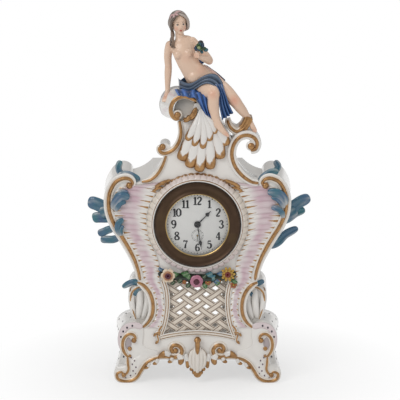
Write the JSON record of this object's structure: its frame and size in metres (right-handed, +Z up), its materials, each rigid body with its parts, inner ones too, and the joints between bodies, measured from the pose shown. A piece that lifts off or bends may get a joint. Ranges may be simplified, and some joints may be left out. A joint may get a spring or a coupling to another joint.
{
  "type": "figural mantel clock",
  "caption": "Rococo porcelain mantel clock with scroll feet, pierced front, painted flowers and a seated nymph on the crest, with a drum movement wound and set from behind.",
  "frame": {"origin": "centre of the box on the floor, between the feet", "axes": "+X to the right of the dial, +Y to the back, +Z up; the dial looks along -Y"},
  "size_m": [0.242, 0.1016, 0.3964],
  "materials": {
    "porcelain": "white gloss glaze",
    "pink_glaze": "pale pink gloss glaze",
    "gilding": "burnished gilding over white glaze",
    "blue_glaze": "blue-grey painted glaze",
    "flower_glaze": "painted glaze",
    "leaf_glaze": "painted glaze",
    "skin_glaze": "flesh-tinted glaze",
    "hair_glaze": "grey-brown painted glaze",
    "drape_glaze": "blue painted glaze",
    "bronze": "dark bronzed brass",
    "glass": "clear convex glass",
    "enamel": "white enamel",
    "brass": "satin brass",
    "steel": "polished steel",
    "black_steel": "black gloss"
  },
  "bodies": {
    "case": {"case_front": "porcelain", "case_back": "porcelain", "case_wall_left": "porcelain", "case_wall_right": "porcelain", "crest": "porcelain", "dial_surround": "porcelain", "lattice_panel": "porcelain", "flute_panel_left": "pink_glaze", "flute_panel_right": "pink_glaze", "shoulder_scroll_left": "gilding", "shoulder_scroll_right": "gilding", "waist_scroll_left": "gilding", "waist_scroll_right": "gilding", "apron_scrolls": "gilding", "apron_pendant": "porcelain", "foot_left": "porcelain", "foot_right": "porcelain", "seat_scroll": "porcelain", "crest_scroll_left": "gilding", "crest_scroll_right": "porcelain", "shell_ornament": "porcelain", "leaves_left": "blue_glaze", "leaves_right": "blue_glaze", "swag_flowers": "flower_glaze", "swag_leaves": "leaf_glaze", "nymph_torso": "skin_glaze", "nymph_head": "skin_glaze", "nymph_hair": "hair_glaze", "nymph_arms": "skin_glaze", "nymph_legs": "skin_glaze", "drapery": "drape_glaze", "posy": "leaf_glaze", "bezel": "bronze", "glass": "glass", "dial": "enamel", "drum": "brass", "back_cap": "brass", "clamp_ring": "brass", "front_plate": "brass", "back_plate": "brass", "pillars": "brass"},
    "minute": {"centre_arbor": "steel", "minute_hand": "black_steel", "setting_knob": "brass"},
    "hour": {"hour_wheel": "brass", "hour_hand": "black_steel"},
    "minute_wheel": {"minute_wheel": "brass"},
    "fourth": {"fourth_wheel": "brass", "second_hand": "black_steel"},
    "third": {"third_wheel": "brass"},
    "centre_wheel": {"centre_wheel": "brass"},
    "barrel": {"barrel": "brass", "mainspring": "steel"},
    "escape": {"escape_wheel": "brass"},
    "lever": {"pallet_lever": "steel"},
    "balance": {"balance_wheel": "brass", "hairspring": "steel"},
    "winding": {"winding_arbor": "steel", "winding_key": "brass"},
    "click": {"click": "steel"}
  },
  "joints": [
    {"name": "minute_turn", "type": "hinge", "parent": "case", "child": "minute", "pos_m": [0, 0, 0.174], "axis": [0, 1, 0], "continuous": true},
    {"name": "hour_turn", "type": "hinge", "parent": "case", "child": "hour", "pos_m": [0, 0, 0.174], "axis": [0, 1, 0], "continuous": true},
    {"name": "minute_wheel_turn", "type": "hinge", "parent": "case", "child": "minute_wheel", "pos_m": [-0.0084, 0, 0.174], "axis": [0, 1, 0], "continuous": true},
    {"name": "second_turn", "type": "hinge", "parent": "case", "child": "fourth", "pos_m": [0, 0, 0.162], "axis": [0, 1, 0], "continuous": true},
    {"name": "third_turn", "type": "hinge", "parent": "case", "child": "third", "pos_m": [0.0089, 0, 0.16698], "axis": [0, 1, 0], "continuous": true},
    {"name": "centre_wheel_turn", "type": "hinge", "parent": "case", "child": "centre_wheel", "pos_m": [0, 0, 0.174], "axis": [0, 1, 0], "continuous": true},
    {"name": "barrel_turn", "type": "hinge", "parent": "case", "child": "barrel", "pos_m": [-0.01125, 0, 0.18741], "axis": [0, 1, 0], "continuous": true},
    {"name": "escape_turn", "type": "hinge", "parent": "case", "child": "escape", "pos_m": [-0.00745, 0, 0.15575], "axis": [0, 1, 0], "continuous": true},
    {"name": "lever_rock", "type": "hinge", "parent": "case", "child": "lever", "pos_m": [-0.01403, 0, 0.15813], "axis": [0, 1, 0], "range_deg": [-5, 5]},
    {"name": "balance_swing", "type": "hinge", "parent": "case", "child": "balance", "pos_m": [-0.022, 0, 0.161], "axis": [0, 1, 0], "range_deg": [-150, 150], "stiffness_Nm_per_rad": 0.0000074},
    {"name": "key_turn", "type": "hinge", "parent": "case", "child": "winding", "pos_m": [-0.01125, 0, 0.18741], "axis": [0, 1, 0], "continuous": true},
    {"name": "click_lift", "type": "hinge", "parent": "case", "child": "click", "pos_m": [-0.00882, 0, 0.19649], "axis": [0, 1, 0], "range_deg": [0, 14], "stiffness_Nm_per_rad": 0.0002}
  ],
  "couplings": [
    {"joint": "hour_turn", "follows": "minute_turn", "ratio": 0.083333},
    {"joint": "minute_wheel_turn", "follows": "minute_turn", "ratio": -0.33333},
    {"joint": "third_turn", "follows": "second_turn", "ratio": -0.13333},
    {"joint": "centre_wheel_turn", "follows": "second_turn", "ratio": 0.016667},
    {"joint": "barrel_turn", "follows": "second_turn", "ratio": -0.0027778},
    {"joint": "escape_turn", "follows": "second_turn", "ratio": -8}
  ]
}
